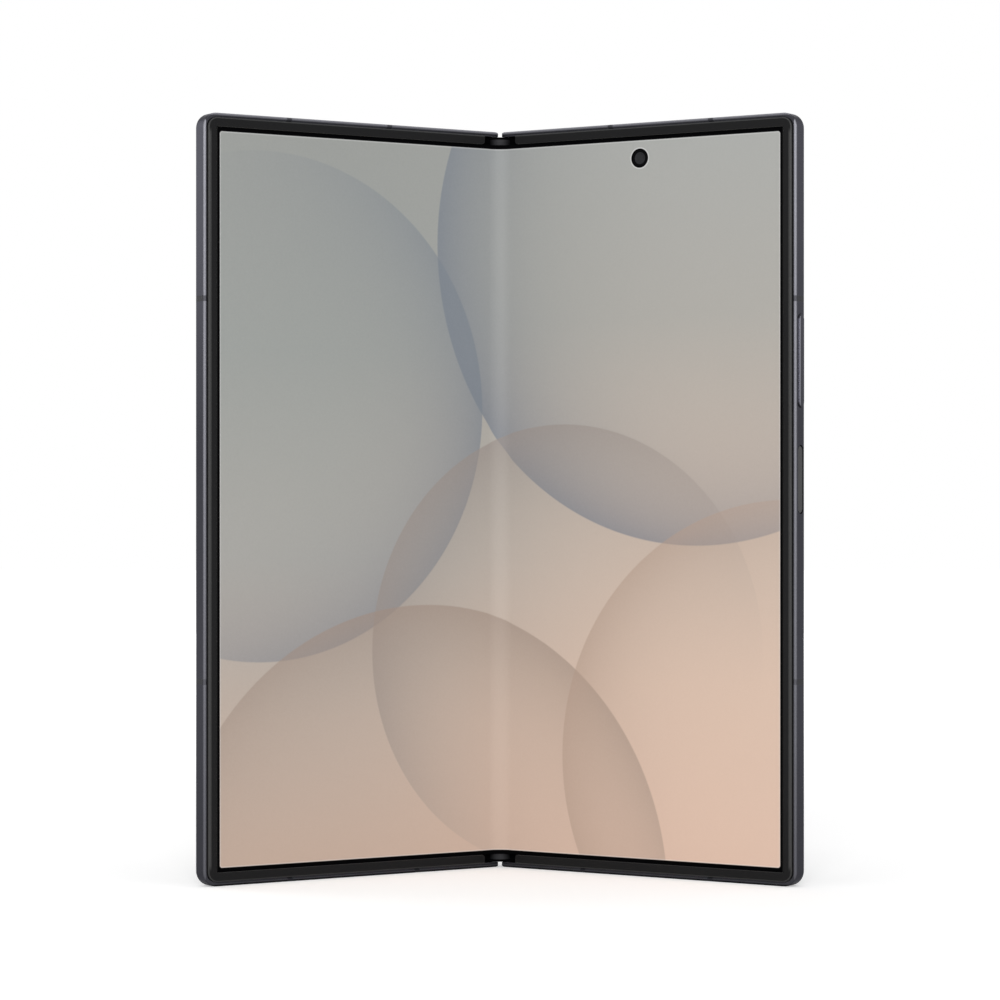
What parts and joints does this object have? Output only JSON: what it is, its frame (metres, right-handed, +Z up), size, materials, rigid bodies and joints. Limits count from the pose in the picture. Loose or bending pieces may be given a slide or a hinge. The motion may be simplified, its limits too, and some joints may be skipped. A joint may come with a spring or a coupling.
{
  "type": "folding phone",
  "caption": "Book-style folding phone standing half open, with a geared two-axis hinge, a folding inner display and rear cameras.",
  "frame": {"origin": "middle of the outline on the surface that the phone stands on", "axes": "+Z up along the fold, +Y away from the viewer of the inner display, +X to that viewer's right"},
  "size_m": [0.1246, 0.0408, 0.1584],
  "materials": {
    "frame_metal": "fine bead-blasted, dark grey",
    "band_plastic": "satin, dark grey",
    "bezel_plastic": "satin, near black",
    "screen": "lit display under clear film",
    "steel": "machined",
    "screw_steel": "bright",
    "gear_brass": "machined",
    "glass_black": "polished black",
    "back_satin": "satin, dark grey",
    "lens_glass": "coated",
    "flash_glass": "frosted",
    "battery_pouch": "black laminated foil",
    "board": "dark green",
    "camera_black": "black",
    "coil_copper": "enamelled wire",
    "key_metal": "bead-blasted, dark grey"
  },
  "bodies": {
    "spine": {"spine_cover": "frame_metal", "spine_end_caps": "bezel_plastic", "spine_support_bar": "steel", "hinge_base_upper": "steel", "hinge_base_lower": "steel", "idler_pins": "screw_steel", "spine_screws": "screw_steel", "fold_display": "screen"},
    "right_half": {"right_frame": "frame_metal", "right_antenna_bands": "band_plastic", "right_bezel": "bezel_plastic", "right_display": "screen", "right_display_plate": "steel", "upper_right_arm": "steel", "lower_right_arm": "steel", "right_screws": "screw_steel", "right_magnets": "steel", "back_glass": "back_satin", "camera_island": "frame_metal", "lens_rings": "steel", "lens_windows": "lens_glass", "wide_camera": "camera_black", "ultrawide_camera": "camera_black", "tele_camera": "camera_black", "flash_window": "flash_glass", "right_battery": "battery_pouch", "main_board": "board", "shield_cans": "steel", "charging_coil": "coil_copper", "charging_port": "steel", "bottom_speaker": "camera_black", "inner_camera": "camera_black", "key_switches": "gear_brass"},
    "left_half": {"left_frame": "frame_metal", "left_antenna_bands": "band_plastic", "left_bezel": "bezel_plastic", "left_display": "screen", "left_display_plate": "steel", "upper_left_arm": "steel", "lower_left_arm": "steel", "left_screws": "screw_steel", "left_magnets": "steel", "cover_glass": "glass_black", "cover_display": "camera_black", "cover_camera": "camera_black", "left_battery": "battery_pouch", "second_board": "board", "top_speaker": "camera_black", "vibration_motor": "steel", "card_cage": "steel"},
    "right_outer_gears": {"right_outer_idlers": "gear_brass"},
    "right_inner_gears": {"right_inner_idlers": "gear_brass"},
    "left_outer_gears": {"left_outer_idlers": "gear_brass"},
    "left_inner_gears": {"left_inner_idlers": "gear_brass"},
    "right_plate": {"right_wing_plate": "steel"},
    "left_plate": {"left_wing_plate": "steel"},
    "volume_key": {"volume_key": "key_metal"},
    "side_key": {"side_key": "key_metal"},
    "card_tray": {"card_tray": "frame_metal"}
  },
  "joints": [
    {"name": "left_fold", "type": "hinge", "parent": "spine", "child": "left_half", "pos_m": [-0.0014, 0.01732, 0.0792], "axis": [0, 0, 1], "range_deg": [-32, 58], "deforming": ["fold_display"]},
    {"name": "right_fold", "type": "hinge", "parent": "spine", "child": "right_half", "pos_m": [0.0014, 0.01732, 0.0792], "axis": [0, 0, -1], "range_deg": [-32, 58]},
    {"name": "left_plate_tilt", "type": "hinge", "parent": "left_half", "child": "left_plate", "pos_m": [-0.00699, 0.01371, 0.0792], "axis": [0, 0, 1], "range_deg": [-3.85, 6.97]},
    {"name": "right_plate_tilt", "type": "hinge", "parent": "right_half", "child": "right_plate", "pos_m": [0.00699, 0.01371, 0.0792], "axis": [0, 0, -1], "range_deg": [-3.85, 6.97]},
    {"name": "right_outer_gear_spin", "type": "hinge", "parent": "spine", "child": "right_outer_gears", "pos_m": [0.0016, 0.0186, 0.0792], "axis": [0, 0, 1], "range_deg": [-51.21, 92.81]},
    {"name": "right_inner_gear_spin", "type": "hinge", "parent": "spine", "child": "right_inner_gears", "pos_m": [0.00055, 0.0186, 0.0792], "axis": [0, 0, -1], "range_deg": [-46.55, 84.37]},
    {"name": "left_outer_gear_spin", "type": "hinge", "parent": "spine", "child": "left_outer_gears", "pos_m": [-0.0016, 0.0186, 0.0792], "axis": [0, 0, -1], "range_deg": [-51.21, 92.81]},
    {"name": "left_inner_gear_spin", "type": "hinge", "parent": "spine", "child": "left_inner_gears", "pos_m": [-0.00055, 0.0186, 0.0792], "axis": [0, 0, 1], "range_deg": [-46.55, 84.37]},
    {"name": "volume_rock", "type": "hinge", "parent": "right_half", "child": "volume_key", "pos_m": [0.05974, -0.01784, 0.1076], "axis": [0.5299, 0.848, 0], "range_deg": [-1.2, 1.2], "stiffness_Nm_per_rad": 1},
    {"name": "side_key_press", "type": "slide", "parent": "right_half", "child": "side_key", "axis": [-0.848, 0.5299, 0], "range_m": [0, 0.0002], "stiffness_N_per_m": 5000},
    {"name": "card_tray_slide", "type": "slide", "parent": "left_half", "child": "card_tray", "axis": [0, 0, -1], "range_m": [0, 0.0185]}
  ],
  "couplings": [
    {"joint": "right_fold", "follows": "left_fold", "ratio": 1},
    {"joint": "left_plate_tilt", "follows": "left_fold", "ratio": 0.12},
    {"joint": "right_plate_tilt", "follows": "left_fold", "ratio": 0.12},
    {"joint": "right_outer_gear_spin", "follows": "left_fold", "ratio": 1.6},
    {"joint": "right_inner_gear_spin", "follows": "left_fold", "ratio": 1.4545},
    {"joint": "left_outer_gear_spin", "follows": "left_fold", "ratio": 1.6},
    {"joint": "left_inner_gear_spin", "follows": "left_fold", "ratio": 1.4545}
  ]
}
